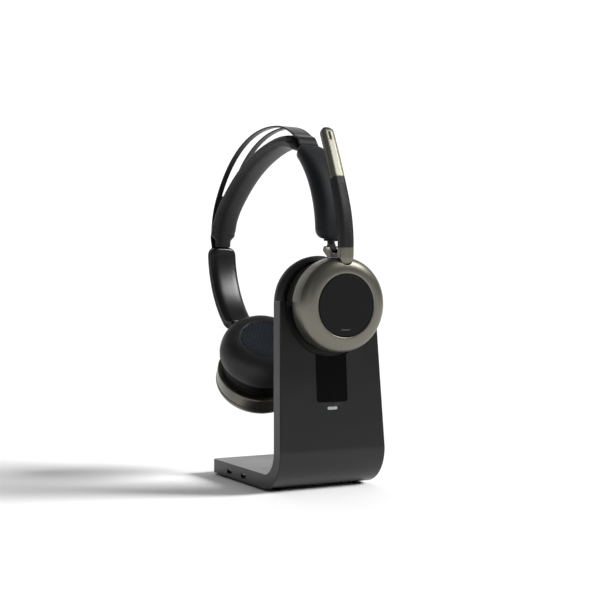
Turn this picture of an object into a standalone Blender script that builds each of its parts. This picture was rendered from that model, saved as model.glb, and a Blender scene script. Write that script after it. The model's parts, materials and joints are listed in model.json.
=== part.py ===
"""Wireless on-ear headset parked in its charging stand.

The stand is a plate bent into an L.  Its upright leans back and has a round notch, open at
the top, that the near ear cup drops into.  The headset is the same on both sides: each cup
hangs on a fork, a knuckle and a slider, and the two side arms are joined over the head by a
split spring band with a soft crown pad under it.  The near cup carries the microphone boom.

Dimensions are in millimetres, and MM turns them into metres.  X runs along the stand's
width, Y from the front of the stand to its back, Z up.  The origin is on the floor, below
the middle of the whole object.
"""
import math

import bmesh
import bpy
from mathutils import Matrix, Vector

MM = 0.001
GAP = 0.3                 # clearance between pieces that touch
NAME = "office_headset"

# ---- stand -------------------------------------------------------------------------------
FOOT_HEIGHT = 1.5
STAND_WIDTH = 93.8
STAND_DEPTH = 128.0
STAND_HEIGHT = 148.0
PLATE = 11.6              # thickness of the bent plate
BEND_RADIUS = 30.0        # outside of the bend
LEAN = 4.0                # degrees, upright leans back
TAPER = 2.0               # degrees, each side of the upright
NOTCH_RADIUS = 36.9
NOTCH_DROP = 3.0          # notch centre below the cup's axis
POCKET_DEPTH = 7.2        # hollow in the underside of the base
COVER = 1.6               # base cover thickness
POCKET = (84.0, 88.0)
POCKET_CENTRE = (0.0, 79.0)
PANEL_WIDTH, PANEL_HEIGHT, PANEL_DEPTH = 27.6, 34.4, 1.6
PANEL_Y = 55.1            # panel and light, up the front face from the bend
LIGHT_WIDTH, LIGHT_HEIGHT = 9.4, 2.8
LIGHT_Y = 33.2
SOCKET_Y = (65.5, 92.5)   # sockets in the stand's left edge, from its front
SOCKET_Z = FOOT_HEIGHT + 5.0
CONTACT_PITCH = 2.6
CONTACT_COUNT = 4
CONTACT_DEPTH = 28.7      # contacts behind the docked cup's outer face

# ---- ear cup, measured back from its outer face along its axis ----------------------------
CUP_RADIUS = 36.7
CAP_RADIUS = 23.9
BEZEL_DEPTH = 9.0
SHELL_END = 21.0
NECK_RADIUS = 32.4
NECK_END = 38.6
CUSHION_RADIUS = 37.2
CUSHION_END = 59.5
CUP_FRONT_Y = -19.6       # outer face of the docked cup, ahead of the stand's front edge
CUP_HEIGHT = 144.5
CUP_PITCH = 3.0           # degrees, docked cup faces slightly down

# ---- headset as a whole -------------------------------------------------------------------
HEADSET_LEAN = 25.5       # degrees, the band leans away from the docked cup
HEADSET_YAW = 3.0         # degrees, the band is swivelled on the docked cup
FAR_TILT = 4.5            # degrees, the far cup faces down from its slider
FAR_SWIVEL = -12.0        # degrees, the far cup is turned about its slider

# ---- arch over the head: three arcs on each side of the crown -----------------------------
CROWN_RADIUS, CROWN_ARC = 165.0, 55.0
SHOULDER_RADIUS, SHOULDER_ARC = 56.0, 51.0
SIDE_RADIUS = 89.0
ARM_START, ARM_END = 94.6, 178.5
ARM_WIDTH, ARM_THICK = 26.5, 11.0
PAD_END = 94.2
PAD_WIDTH, PAD_THICK = 23.0, 11.0
BAND_WIDTH, BAND_THICK = 17.5, 1.4
BAND_END = 106.0
BAND_RISE = 14.5          # extra height of the spring band over the pad at the crown
BAND_SEAT = 3.4           # height of the spring band inside the arms
SLOT_WIDTH, SLOT_HALF = 7.6, 56.0

# ---- hanger between arm and cup -----------------------------------------------------------
TONGUE_WIDTH, TONGUE_THICK, TONGUE_IN = 12.0, 2.0, 28.0
BOSS_RADIUS, BOSS_LENGTH = 3.0, 3.4
HINGE_DROP = 8.6          # tilt pin below the end of the arm
CUP_DROP = 15.0           # top of the shell below the end of the arm
CUP_SHIFT = 6.2           # and outward of it
FORK_WIDTH, FORK_SLOT = 12.0, 6.0
EYE_RADIUS = 3.0
PIN_RADIUS = 1.0
MOUNT_DEPTH = 18.0        # where the fork stands on the shell, behind the outer face

# ---- microphone boom ----------------------------------------------------------------------
BOOM_WIDTH, BOOM_THICK = 12.0, 8.0
BOOM_DEPTH = 4.4          # boom centre line behind the cup's outer face
BOOM_START = 31.0         # inner end of the boom, from the cup's axis
BOOM_STRAIGHT = 10.0      # straight part
BOOM_BEND_RADIUS, BOOM_BEND_ARC = 100.0, 39.0
BOOM_CURVE_RADIUS = 500.0
ROOT_END, GRIP_END, BOOM_END = 13.0, 69.0, 114.0
MIC_PLACE, MIC_LENGTH = 105.0, 7.5

CENTRE_Y = 88.0           # middle of the whole object, behind the stand's front edge

COLOURS = {
    "satin_metal": ((0.235, 0.225, 0.195, 1), 0.35, 0.9),
    "stand_plastic": ((0.030, 0.030, 0.032, 1), 0.55, 0.0),
    "black_plastic": ((0.010, 0.010, 0.011, 1), 0.45, 0.0),
    "gloss_black": ((0.006, 0.006, 0.006, 1), 0.12, 0.0),
    "arm_grey": ((0.030, 0.036, 0.042, 1), 0.75, 0.0),
    "pad_soft": ((0.035, 0.035, 0.037, 1), 0.70, 0.0),
    "leatherette": ((0.022, 0.022, 0.024, 1), 0.60, 0.0),
    "ear_fabric": ((0.012, 0.016, 0.030, 1), 0.90, 0.0),
    "grip_rubber": ((0.012, 0.012, 0.013, 1), 0.80, 0.0),
    "spring_steel": ((0.012, 0.012, 0.013, 1), 0.35, 0.6),
    "steel": ((0.42, 0.42, 0.43, 1), 0.30, 1.0),
    "gold": ((0.85, 0.60, 0.25, 1), 0.25, 1.0),
    "board_green": ((0.010, 0.070, 0.030, 1), 0.50, 0.0),
    "light_lens": ((0.60, 0.62, 0.62, 1), 0.35, 0.0),
    "foot_rubber": ((0.015, 0.015, 0.015, 1), 0.85, 0.0),
}


# ---- scene and mesh helpers ---------------------------------------------------------------
def clear_scene():
    for old in list(bpy.data.objects):
        bpy.data.objects.remove(old, do_unlink=True)


def new_collection(name):
    group = bpy.data.collections.new(name)
    bpy.context.scene.collection.children.link(group)
    return group


def make_material(name):
    colour, roughness, metallic = COLOURS[name]
    material = bpy.data.materials.new(name)
    material.use_nodes = True
    shader = material.node_tree.nodes["Principled BSDF"]
    shader.inputs["Base Color"].default_value = colour
    shader.inputs["Roughness"].default_value = roughness
    shader.inputs["Metallic"].default_value = metallic
    return material


def place(matrix):
    """The same frame with its origin in metres."""
    placed = matrix.copy()
    placed.translation = matrix.translation * MM
    return placed


def make_object(name, mesh_builder, frame, material=None):
    """One object from a bmesh in millimetres.  Without a material it is a cutter."""
    mesh = bpy.data.meshes.new(name)
    bmesh.ops.recalc_face_normals(mesh_builder, faces=mesh_builder.faces)
    bmesh.ops.scale(mesh_builder, vec=(MM, MM, MM), verts=mesh_builder.verts)
    mesh_builder.to_mesh(mesh)
    mesh_builder.free()
    piece = bpy.data.objects.new(name, mesh)
    piece.matrix_world = place(frame)
    if material is None:
        piece.hide_render = True
        piece.display_type = "WIRE"
        CUTTERS.objects.link(piece)
    else:
        mesh.materials.append(MATERIALS[material])
        mesh.shade_smooth()
        mesh.set_sharp_from_angle(angle=math.radians(35))
        PARTS.objects.link(piece)
    return piece


def cut(piece, *cutters):
    for cutter in cutters:
        modifier = piece.modifiers.new("cut_" + cutter.name, "BOOLEAN")
        modifier.operation = "DIFFERENCE"
        modifier.object = cutter


def join(piece, extra):
    modifier = piece.modifiers.new("join_" + extra.name, "BOOLEAN")
    modifier.operation = "UNION"
    modifier.object = extra


def bevel(piece, width, segments=2, angle=40):
    modifier = piece.modifiers.new("rounded_edges", "BEVEL")
    modifier.width = width * MM
    modifier.segments = segments
    modifier.limit_method = "ANGLE"
    modifier.angle_limit = math.radians(angle)
    return piece


def box(name, low, high, frame, material=None):
    builder = bmesh.new()
    bmesh.ops.create_cube(builder, size=1.0)
    size = [b - a for a, b in zip(low, high)]
    middle = [(a + b) / 2 for a, b in zip(low, high)]
    bmesh.ops.scale(builder, vec=size, verts=builder.verts)
    bmesh.ops.translate(builder, vec=middle, verts=builder.verts)
    return make_object(name, builder, frame, material)


def cylinder(name, radius, low, high, frame, material=None, segments=24):
    """A round bar along the frame's Z."""
    builder = bmesh.new()
    bmesh.ops.create_cone(builder, cap_ends=True, segments=segments, radius1=radius,
                          radius2=radius, depth=high - low)
    bmesh.ops.translate(builder, vec=(0, 0, (low + high) / 2), verts=builder.verts)
    return make_object(name, builder, frame, material)


def turned(name, profile, frame, material, closed=False, segments=32):
    """A turned piece: the profile of (radius, height) points runs down its outer side."""
    mesh = bpy.data.meshes.new(name)
    points = [(radius * MM, 0, height * MM) for radius, height in profile]
    edges = [(i, i + 1) for i in range(len(points) - 1)]
    if closed:
        edges.append((len(points) - 1, 0))
    mesh.from_pydata(points, edges, [])
    piece = bpy.data.objects.new(name, mesh)
    piece.matrix_world = place(frame)
    mesh.materials.append(MATERIALS[material])
    PARTS.objects.link(piece)
    screw = piece.modifiers.new("turn", "SCREW")
    screw.steps = segments
    screw.render_steps = segments
    screw.use_merge_vertices = True
    screw.merge_threshold = 0.00001
    screw.use_smooth_shade = True
    return piece


def prism(name, outline, low, high, frame, material=None):
    """An outline in the frame's XY plane, raised from low to high along Z."""
    builder = bmesh.new()
    base = builder.faces.new([builder.verts.new((x, y, low)) for x, y in outline])
    raised = bmesh.ops.extrude_face_region(builder, geom=[base])
    lifted = [item for item in raised["geom"] if isinstance(item, bmesh.types.BMVert)]
    bmesh.ops.translate(builder, vec=(0, 0, high - low), verts=lifted)
    return make_object(name, builder, frame, material)


def loft(name, rings, frame, material=None):
    """A closed skin through rings of the same number of points, capped at both ends."""
    builder = bmesh.new()
    loops = [[builder.verts.new(point) for point in ring] for ring in rings]
    count = len(loops[0])
    for first, second in zip(loops, loops[1:]):
        for i in range(count):
            j = (i + 1) % count
            builder.faces.new((first[i], first[j], second[j], second[i]))
    builder.faces.new(reversed(loops[0]))
    builder.faces.new(loops[-1])
    return make_object(name, builder, frame, material)


def arc(centre, radius, start, end, steps):
    """Points on an arc, angles in degrees."""
    turns = [math.radians(start + (end - start) * i / steps) for i in range(steps + 1)]
    return [(centre[0] + radius * math.cos(t), centre[1] + radius * math.sin(t)) for t in turns]


def rounded_rectangle(width, height, radius, steps=4, centre=(0, 0)):
    x, y = width / 2 - radius, height / 2 - radius
    corners = ((x, y, 0), (-x, y, 90), (-x, -y, 180), (x, -y, 270))
    points = []
    for cx, cy, start in corners:
        points += arc((centre[0] + cx, centre[1] + cy), radius, start, start + 90, steps)
    return points


def oval(width, height, count=20, squareness=0.75):
    """Points of a rounded box section, as (across, up)."""
    points = []
    for i in range(count):
        turn = 2 * math.pi * i / count
        c, s = math.cos(turn), math.sin(turn)
        points.append((width / 2 * math.copysign(abs(c) ** squareness, c),
                       height / 2 * math.copysign(abs(s) ** squareness, s)))
    return points


def half_oval(width, rise, floor, count=10, squareness=0.6):
    """A D section standing on the line up = floor; a negative rise hangs below it."""
    points = []
    for i in range(count + 1):
        turn = math.pi * i / count
        c, s = math.cos(turn), math.sin(turn)
        points.append((width / 2 * math.copysign(abs(c) ** squareness, c),
                       floor + rise * abs(s) ** squareness))
    return points


# ---- frames -------------------------------------------------------------------------------
def axes(origin, x_axis, y_axis, z_axis):
    """A frame from its origin and its three unit axes."""
    columns = (Vector(x_axis).normalized(), Vector(y_axis).normalized(), Vector(z_axis).normalized())
    frame = Matrix.Identity(4)
    for i, column in enumerate(columns):
        for row in range(3):
            frame[row][i] = column[row]
    frame.translation = Vector(origin)
    return frame


def empty(name, frame):
    marker = bpy.data.objects.new(name, None)
    marker.empty_display_size = 0.01
    marker.matrix_world = place(frame)
    FRAMES.objects.link(marker)
    return marker


def adopt(parent, pieces):
    """Parent the pieces to an empty without moving them."""
    for piece in pieces:
        world = piece.matrix_world.copy()
        piece.parent = parent
        piece.matrix_parent_inverse = parent.matrix_world.inverted()
        piece.matrix_world = world


def arch_point(distance):
    """Place, tangent and outward normal on the arch, by distance from the crown.

    Distances are positive towards the far cup.  The place is (along, up) in the plane of
    the arch, whose origin is the crown.
    """
    side = math.copysign(1.0, distance)
    left = abs(distance)
    x, z, turn = 0.0, 0.0, 0.0
    for radius, length in ((CROWN_RADIUS, CROWN_ARC), (SHOULDER_RADIUS, SHOULDER_ARC),
                           (SIDE_RADIUS, math.inf)):
        step = min(left, length)
        after = turn + step / radius
        x += radius * (math.sin(after) - math.sin(turn))
        z += radius * (math.cos(after) - math.cos(turn))
        turn = after
        left -= step
        if left <= 0:
            break
    place_on = Vector((side * x, 0, z))
    tangent = Vector((side * math.cos(turn), 0, -math.sin(turn)))
    normal = Vector((side * math.sin(turn), 0, math.cos(turn)))
    return place_on, tangent, normal


def section(distance, points, lift=0.0):
    """Lay section points (across, up) over the arch at a distance from the crown."""
    middle, _, normal = arch_point(distance)
    return [middle + Vector((0, across, 0)) + normal * (up + lift) for across, up in points]


def smooth(value, low, high):
    t = min(1.0, max(0.0, (value - low) / (high - low)))
    return t * t * (3 - 2 * t)


def rounded_end(distance, start, end, radius):
    """How much a width shrinks on each side near the ends, for corners of that radius."""
    nearest = max(0.0, min(distance - start, end - distance))
    if nearest >= radius:
        return 0.0
    return radius - math.sqrt(max(0.0, radius ** 2 - (radius - nearest) ** 2))


def stations(start, end, steps, fine):
    """Distances along a piece, closer together within `fine` of its ends."""
    lead = [fine * (1 - math.cos(math.pi / 2 * i / 4)) for i in range(4)]
    inner = [start + fine + (end - start - 2 * fine) * i / steps for i in range(steps + 1)]
    return [start + d for d in lead] + inner + [end - d for d in reversed(lead)]


# frame of the whole object
WORLD = Matrix.Translation((0, -CENTRE_Y, 0))

# upright of the stand: X across, Y up along its front face, Z out of that face to the front
_lean = math.radians(LEAN)
UPRIGHT = WORLD @ axes((0, 0, FOOT_HEIGHT + BEND_RADIUS), (1, 0, 0),
                       (0, math.sin(_lean), math.cos(_lean)),
                       (0, -math.cos(_lean), math.sin(_lean)))

# docked cup: Z out of its outer face, Y up, X to the right
_pitch = math.radians(CUP_PITCH)
NEAR_CUP = WORLD @ axes((0, CUP_FRONT_Y, CUP_HEIGHT), (1, 0, 0),
                        (0, -math.sin(_pitch), math.cos(_pitch)),
                        (0, -math.cos(_pitch), -math.sin(_pitch)))

# plane of the arch: X from the near cup to the far one, Z up over the crown, Y to the front
_yaw = math.radians(HEADSET_YAW)
_hlean = math.radians(HEADSET_LEAN)
_along = Vector((-math.sin(_yaw), math.cos(_yaw), 0))
ARCH_X = _along * math.cos(_hlean) - Vector((0, 0, math.sin(_hlean)))
ARCH_Z = _along * math.sin(_hlean) + Vector((0, 0, math.cos(_hlean)))
ARCH_Y = ARCH_Z.cross(ARCH_X)


def hanger_axes(side):
    """End of an arm, the slider's way down out of it, and the way outward from it."""
    end = arch_point(side * ARM_END)[0]
    inside = arch_point(side * (ARM_END - TONGUE_IN))[0]
    down = (end - inside).normalized()
    outward = Vector((-side * down.z, 0, side * down.x))
    return end, down, outward


def shell_top(side):
    """Where the top of a cup's shell lies in the plane of the arch."""
    end, down, outward = hanger_axes(side)
    return end + down * CUP_DROP + outward * CUP_SHIFT


_docked_top = NEAR_CUP @ Vector((0, CUP_RADIUS, -MOUNT_DEPTH))
ARCH = axes((0, 0, 0), ARCH_X, ARCH_Y, ARCH_Z)
ARCH.translation = _docked_top - ARCH.to_3x3() @ shell_top(-1)


def arm_end_frame(side):
    """At the end of an arm: Z up into the arm, X outward, away from the head."""
    end, down, outward = hanger_axes(side)
    up = ARCH.to_3x3() @ (-down)
    out = ARCH.to_3x3() @ outward
    return axes(ARCH @ end, out, up.cross(out), up)


def hanger_frame(side):
    """The same place, turned with the cup below it."""
    swivel = FAR_SWIVEL if side > 0 else -HEADSET_YAW
    return arm_end_frame(side) @ Matrix.Rotation(math.radians(swivel), 4, "Z")


_tilt = math.radians(FAR_TILT)
_far_out = Vector((math.cos(_tilt), 0, -math.sin(_tilt)))
_far_up = Vector((math.sin(_tilt), 0, math.cos(_tilt)))
_far_face = Vector((CUP_SHIFT, 0, -CUP_DROP)) - _far_up * CUP_RADIUS + _far_out * MOUNT_DEPTH
FAR_CUP = hanger_frame(1) @ axes(_far_face, _far_up.cross(_far_out), _far_up, _far_out)


# ---- stand --------------------------------------------------------------------------------
def stand_profile():
    """Side view of the bent plate as (y, z), from the top of its front face round the bend."""
    top = STAND_HEIGHT
    centre = (BEND_RADIUS, FOOT_HEIGHT + BEND_RADIUS)
    outer = arc(centre, BEND_RADIUS, 180 - LEAN, 270, 14)
    inner = arc(centre, BEND_RADIUS - PLATE, 270, 180 - LEAN, 12)
    rise_outer = (top - outer[0][1]) / math.cos(_lean)
    rise_inner = (top - inner[-1][1]) / math.cos(_lean)
    front_top = (outer[0][0] + rise_outer * math.sin(_lean), top)
    back_top = (inner[-1][0] + rise_inner * math.sin(_lean), top)
    return ([front_top] + outer + [(STAND_DEPTH, FOOT_HEIGHT), (STAND_DEPTH, FOOT_HEIGHT + PLATE)]
            + inner + [back_top])


def half_width(height):
    rise = max(0.0, height - FOOT_HEIGHT - BEND_RADIUS)
    return STAND_WIDTH / 2 - rise * math.tan(math.radians(TAPER))


def make_stand_body():
    builder = bmesh.new()
    loops = []
    for side in (-1, 1):
        loops.append([builder.verts.new((side * half_width(z), y, z)) for y, z in stand_profile()])
    count = len(loops[0])
    for i in range(count):
        j = (i + 1) % count
        builder.faces.new((loops[0][i], loops[0][j], loops[1][j], loops[1][i]))
    builder.faces.new(loops[0])
    builder.faces.new(loops[1])
    body = make_object("stand_body", builder, WORLD, "stand_plastic")
    bevel(body, 0.9, 2, 30)

    notch = arc((0, 0), NOTCH_RADIUS, 180, 360, 28) + [(NOTCH_RADIUS, 60), (-NOTCH_RADIUS, 60)]
    cut(body,
        prism("notch_cutter", notch, -PLATE - 8, 8, notch_frame()),
        prism("panel_cutter", rounded_rectangle(PANEL_WIDTH, PANEL_HEIGHT, 2.2, 4, (0, PANEL_Y)),
              -PANEL_DEPTH, 6, UPRIGHT),
        prism("light_cutter", rounded_rectangle(LIGHT_WIDTH, LIGHT_HEIGHT, 1.3, 4, (0, LIGHT_Y)),
              -4.0, 6, UPRIGHT),
        prism("pocket_cutter", rounded_rectangle(*POCKET, 6, 4, POCKET_CENTRE),
              -5, FOOT_HEIGHT + POCKET_DEPTH, WORLD),
        *[socket_shape("socket_cutter_%d" % n, y, 0.3, 12.0, None)
          for n, y in enumerate(SOCKET_Y)])
    return body


def notch_frame():
    """The notch's centre on the front face, along the upright."""
    height = (CUP_HEIGHT - NOTCH_DROP - FOOT_HEIGHT - BEND_RADIUS) / math.cos(_lean)
    return UPRIGHT @ Matrix.Translation((0, height, 0))


def socket_shape(name, y, margin, depth, material):
    """A flat oval bar along X at the stand's left edge, 8.9 by 3.2 mm plus a margin."""
    frame = WORLD @ axes((-STAND_WIDTH / 2 - 2, y, SOCKET_Z), (0, 1, 0), (0, 0, 1), (1, 0, 0))
    outline = rounded_rectangle(8.9 + 2 * margin, 3.2 + 2 * margin, 1.5 + margin, 4)
    start = 0.0 if material is None else 2.3
    return prism(name, outline, start, start + depth, frame, material)


def make_socket(name, y):
    socket = socket_shape(name, y, 0.0, 7.0, "steel")
    cut(socket, socket_shape(name + "_mouth", y, -0.45, 7.5, None))
    return socket


def make_liner():
    """The cradle: round outside like the notch, round inside like the docked cup's neck."""
    outer_radius = NOTCH_RADIUS - GAP
    lip = NOTCH_DROP - 0.6
    outline = [(-outer_radius, lip)] + arc((0, 0), outer_radius, 180, 360, 28)
    outline.append((outer_radius, lip))
    liner = prism("cradle_liner", outline, -PLATE + 1.5, -0.5, notch_frame(), "black_plastic")
    bed = cylinder("cradle_bed", NECK_RADIUS + GAP, -50, -15, NEAR_CUP, None, 64)
    under = -NECK_RADIUS - 8.2
    pocket = box("contact_pocket", (-6.6, under, -CONTACT_DEPTH - 3.2),
                 (6.6, -NECK_RADIUS + 3, -CONTACT_DEPTH + 3.2), NEAR_CUP)
    cut(liner, bed, pocket)
    return liner


def contact_frame(number):
    """A contact pin's line: Z up towards the cup's neck, from the lowest line of the neck."""
    x = (number - (CONTACT_COUNT - 1) / 2) * CONTACT_PITCH
    turn = Matrix(((1, 0, 0, x), (0, 0, 1, -NECK_RADIUS), (0, -1, 0, -CONTACT_DEPTH),
                   (0, 0, 0, 1)))
    return NEAR_CUP @ turn


def make_contacts():
    low, high = -NECK_RADIUS - 7.8, -NECK_RADIUS - 2.2
    block = box("contact_block", (-6.3, low, -CONTACT_DEPTH - 2.9),
                (6.3, high, -CONTACT_DEPTH + 2.9), NEAR_CUP, "black_plastic")
    pins = []
    for n in range(CONTACT_COUNT):
        cut(block, cylinder("contact_hole_%d" % n, 1.1, -6.4, 0, contact_frame(n), None, 12))
        pins.append(cylinder("contact_pin_%d" % (n + 1), 0.8, -5.0, -0.8, contact_frame(n),
                             "gold", 12))
    return block, pins


def make_stand():
    parts = [make_stand_body(), make_liner()]
    panel = prism("front_panel",
                  rounded_rectangle(PANEL_WIDTH - 2 * GAP, PANEL_HEIGHT - 2 * GAP, 2.0, 4,
                                    (0, PANEL_Y)),
                  -PANEL_DEPTH + GAP, -0.1, UPRIGHT, "gloss_black")
    light = prism("status_light",
                  rounded_rectangle(LIGHT_WIDTH - 2 * GAP, LIGHT_HEIGHT - 2 * GAP, 1.05, 4,
                                    (0, LIGHT_Y)),
                  -3.6, -0.1, UPRIGHT, "light_lens")
    width, depth = POCKET
    cover = prism("base_cover",
                  rounded_rectangle(width - 2 * GAP, depth - 2 * GAP, 5.7, 4, POCKET_CENTRE),
                  FOOT_HEIGHT, FOOT_HEIGHT + COVER, WORLD, "stand_plastic")
    low = FOOT_HEIGHT + COVER + GAP
    ballast = box("ballast", (-26, 42, low), (38, 118, low + 4.6), WORLD, "steel")
    board = box("stand_board", (-39.5, 60, low), (-28, 105, low + 1.2), WORLD, "board_green")
    parts += [panel, light, cover, ballast, board]
    for n, y in enumerate(SOCKET_Y):
        parts.append(make_socket("usb_socket_%d" % (n + 1), y))
    feet = ((-36, 26), (36, 26), (-36, 123), (36, 123))
    for n, (x, y) in enumerate(feet):
        foot = cylinder("foot_%d" % (n + 1), 3.6, 0, FOOT_HEIGHT - GAP,
                        WORLD @ Matrix.Translation((x, y, 0)), "foot_rubber", 12)
        parts.append(foot)
    return parts


# ---- ear cups -----------------------------------------------------------------------------
def make_bezel(side, frame):
    """Domed metal ring round the cap."""
    inner = CAP_RADIUS + 0.45
    dome = [(inner + 0.9 + (CUP_RADIUS - inner - 0.9) * math.sin(t), -7.8 * (1 - math.cos(t)))
            for t in (math.radians(90 * i / 6) for i in range(7))]
    profile = ([(inner, -0.7)] + dome + [(CUP_RADIUS, -BEZEL_DEPTH), (34.3, -BEZEL_DEPTH)]
               + [(33.6, -7.0), (30.5, -4.4), (inner, -3.0)])
    return turned(side + "_bezel", profile, frame, "satin_metal", closed=True, segments=40)


def make_cap(side, frame):
    profile = [(0, -0.35), (CAP_RADIUS - 1.4, -0.35), (CAP_RADIUS - 0.4, -0.5),
               (CAP_RADIUS, -0.9), (CAP_RADIUS, -2.4), (0, -2.4)]
    return turned(side + "_cap", profile, frame, "black_plastic")


def make_cup(side, frame):
    """Everything that is fixed in a cup, from the shell back to the cushion."""
    shell = turned(side + "_shell",
                   [(34.6, -9.4), (36.0, -9.4), (36.4, -9.8), (36.4, -20.3), (35.7, -SHELL_END),
                    (9.0, -SHELL_END), (9.0, -19.4), (34.6, -19.4)],
                   frame, "satin_metal", closed=True, segments=40)
    neck = turned(side + "_neck",
                  [(30.4, -SHELL_END - GAP), (NECK_RADIUS, -SHELL_END - GAP),
                   (NECK_RADIUS, -NECK_END), (30.4, -NECK_END)],
                  frame, "black_plastic", closed=True)
    seat = -NECK_END - 0.4
    baffle = turned(side + "_baffle",
                    [(16.6, seat), (33.6, seat), (34.2, seat - 0.6), (34.2, seat - 1.4),
                     (16.6, seat - 1.4)], frame, "black_plastic", closed=True)
    driver = turned(side + "_driver",
                    [(0, seat + 4.4), (9.0, seat + 4.4), (16.0, seat + 2.0), (16.0, seat - 1.6),
                     (14.5, seat - 1.6), (0, seat + 1.6)], frame, "black_plastic", segments=24)
    magnet = turned(side + "_magnet",
                    [(0, seat + 10.8), (8.6, seat + 10.8), (8.6, seat + 4.8), (0, seat + 4.8)],
                    frame, "steel", segments=24)
    top = -CUSHION_END
    cushion = turned(side + "_cushion",
                     [(19.4, seat - 1.8), (34.4, seat - 1.8), (36.4, seat - 4.0),
                      (CUSHION_RADIUS, seat - 8.4), (36.6, top + 7.9), (34.2, top + 3.9),
                      (29.8, top + 1.1), (24.5, top), (20.6, top + 0.6), (19.0, top + 2.6)],
                     frame, "leatherette", closed=True)
    fabric = turned(side + "_ear_fabric",
                    [(0, top + 4.4), (18.6, top + 4.4), (18.6, top + 2.9), (10.0, top + 2.3),
                     (0, top + 2.1)], frame, "ear_fabric", segments=24)
    board = cylinder(side + "_board", 21.0, -7.2, -6.0, frame, "board_green", 16)
    battery = box(side + "_battery", (-15, -11, -17.5), (15, 11, -10.0), frame, "steel")
    return [shell, neck, baffle, driver, magnet, cushion, fabric, board, battery]


def make_near_cap(frame):
    cap = make_cap("near", frame)
    outline = rounded_rectangle(8.8, 1.5, 0.7, 3, (0, -18.7))
    cut(cap, prism("cap_light_cutter", outline, -1.5, 1.0, frame))
    lens = rounded_rectangle(8.2, 0.9, 0.4, 3, (0, -18.7))
    light = prism("near_cap_light", lens, -1.2, -0.45, frame, "light_lens")
    return [cap, light]


def make_cup_contacts(frame):
    """Charging strip on the underside of the near cup's neck."""
    return box("near_contacts", (-5.2, -NECK_RADIUS - 0.45, -CONTACT_DEPTH - 1.8),
               (5.2, -NECK_RADIUS - 0.05, -CONTACT_DEPTH + 1.8), frame, "gold")


# ---- hanger: fork, pin, knuckle and slider ------------------------------------------------
def side_view(frame):
    """The same frame turned so that an outline in (X, Z) can be raised along Y."""
    return frame @ Matrix(((1, 0, 0, 0), (0, 0, -1, 0), (0, 1, 0, 0), (0, 0, 0, 1)))


def make_hanger(side_name, side, cup_frame):
    frame = hanger_frame(side)
    flat = side_view(frame)
    eye = (0.0, -HINGE_DROP)
    foot_out = CUP_SHIFT + 3.5
    foot_in = CUP_SHIFT - 2.7
    outline = ([(foot_out, -CUP_DROP - 1.5)] + arc(eye, EYE_RADIUS, 10, 190, 10)
               + [(foot_in, -CUP_DROP - 1.5)])
    fork = prism(side_name + "_fork", outline, -FORK_WIDTH / 2, FORK_WIDTH / 2, flat,
                 "satin_metal")
    cut(fork,
        box(side_name + "_fork_slot", (-12, -FORK_SLOT / 2, -CUP_DROP + 2.6),
            (12, FORK_SLOT / 2, 4), frame),
        cylinder(side_name + "_fork_bore", PIN_RADIUS + GAP, -9, 9,
                 flat @ Matrix.Translation((*eye, 0))),
        cylinder(side_name + "_shell_clearance", CUP_RADIUS, -24, -8, cup_frame, None, 64))
    pin = cylinder(side_name + "_pin", PIN_RADIUS, -FORK_WIDTH / 2 + 0.3, FORK_WIDTH / 2 - 0.3,
                   flat @ Matrix.Translation((*eye, 0)), "steel", 16)

    boss_low = -0.5 - BOSS_LENGTH
    stem_top = boss_low - GAP
    knuckle_outline = ([(2.2, stem_top)] + [(-2.2, stem_top)] + arc(eye, 2.6, 180, 360, 10))
    knuckle = prism(side_name + "_knuckle", knuckle_outline, -FORK_SLOT / 2 + GAP,
                    FORK_SLOT / 2 - GAP, flat, "black_plastic")
    join(knuckle, cylinder(side_name + "_knuckle_stub", 1.4, stem_top - 0.6, stem_top + 2.6,
                           frame, None, 16))
    cut(knuckle, cylinder(side_name + "_knuckle_bore", PIN_RADIUS + GAP, -9, 9,
                          flat @ Matrix.Translation((*eye, 0))))

    channel = arm_end_frame(side)
    slider = box(side_name + "_slider", (-TONGUE_THICK / 2, -TONGUE_WIDTH / 2, -1.6),
                 (TONGUE_THICK / 2, TONGUE_WIDTH / 2, TONGUE_IN), channel, "black_plastic")
    join(slider, cylinder(side_name + "_slider_boss", BOSS_RADIUS, boss_low, -0.5, channel))
    cut(slider, cylinder(side_name + "_slider_socket", 1.7, boss_low - 1, boss_low + 2.7, channel,
                         None, 16))
    return [fork, pin], [knuckle], [slider]


# ---- arch: arms, spring band and crown pad ------------------------------------------------
def arm_shape(side, rise, floor):
    rings = []
    for distance in stations(ARM_START, ARM_END, 9, 9.0):
        narrow = rounded_end(distance, ARM_START, ARM_END, 9.0)
        thin = rounded_end(distance, ARM_START, ARM_END, 4.0)
        depth = math.copysign(abs(rise) - 0.85 * thin, rise)
        rings.append(section(side * distance, half_oval(ARM_WIDTH - 1.8 * narrow, depth, floor)))
    return rings


def strip(name, start, end, width, thick, lift, material=None, steps=40):
    """A flat strip bent along the arch; lift(distance) is its height over the middle line."""
    rings = []
    for i in range(steps + 1):
        distance = start + (end - start) * i / steps
        outline = [(-width / 2, -thick / 2), (width / 2, -thick / 2),
                   (width / 2, thick / 2), (-width / 2, thick / 2)]
        rings.append(section(distance, outline, lift(distance)))
    return loft(name, rings, ARCH, material)


def band_lift(distance):
    """The spring band stands well off the pad at the crown and drops into the arms."""
    away = abs(distance)
    over_pad = PAD_THICK / 2 + BAND_THICK / 2 + 0.8
    crown = BAND_RISE * math.cos(math.pi / 2 * min(1.0, away / 82.0))
    return over_pad + crown - (over_pad - BAND_SEAT) * smooth(away, 86.0, 95.5)


def make_band():
    band = strip("spring_band", -BAND_END, BAND_END, BAND_WIDTH, BAND_THICK, band_lift,
                 "spring_steel", 36)
    slot = strip("band_slot", -SLOT_HALF, SLOT_HALF, SLOT_WIDTH, 5.0, band_lift, None, 28)
    cut(band, slot)
    return band


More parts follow.
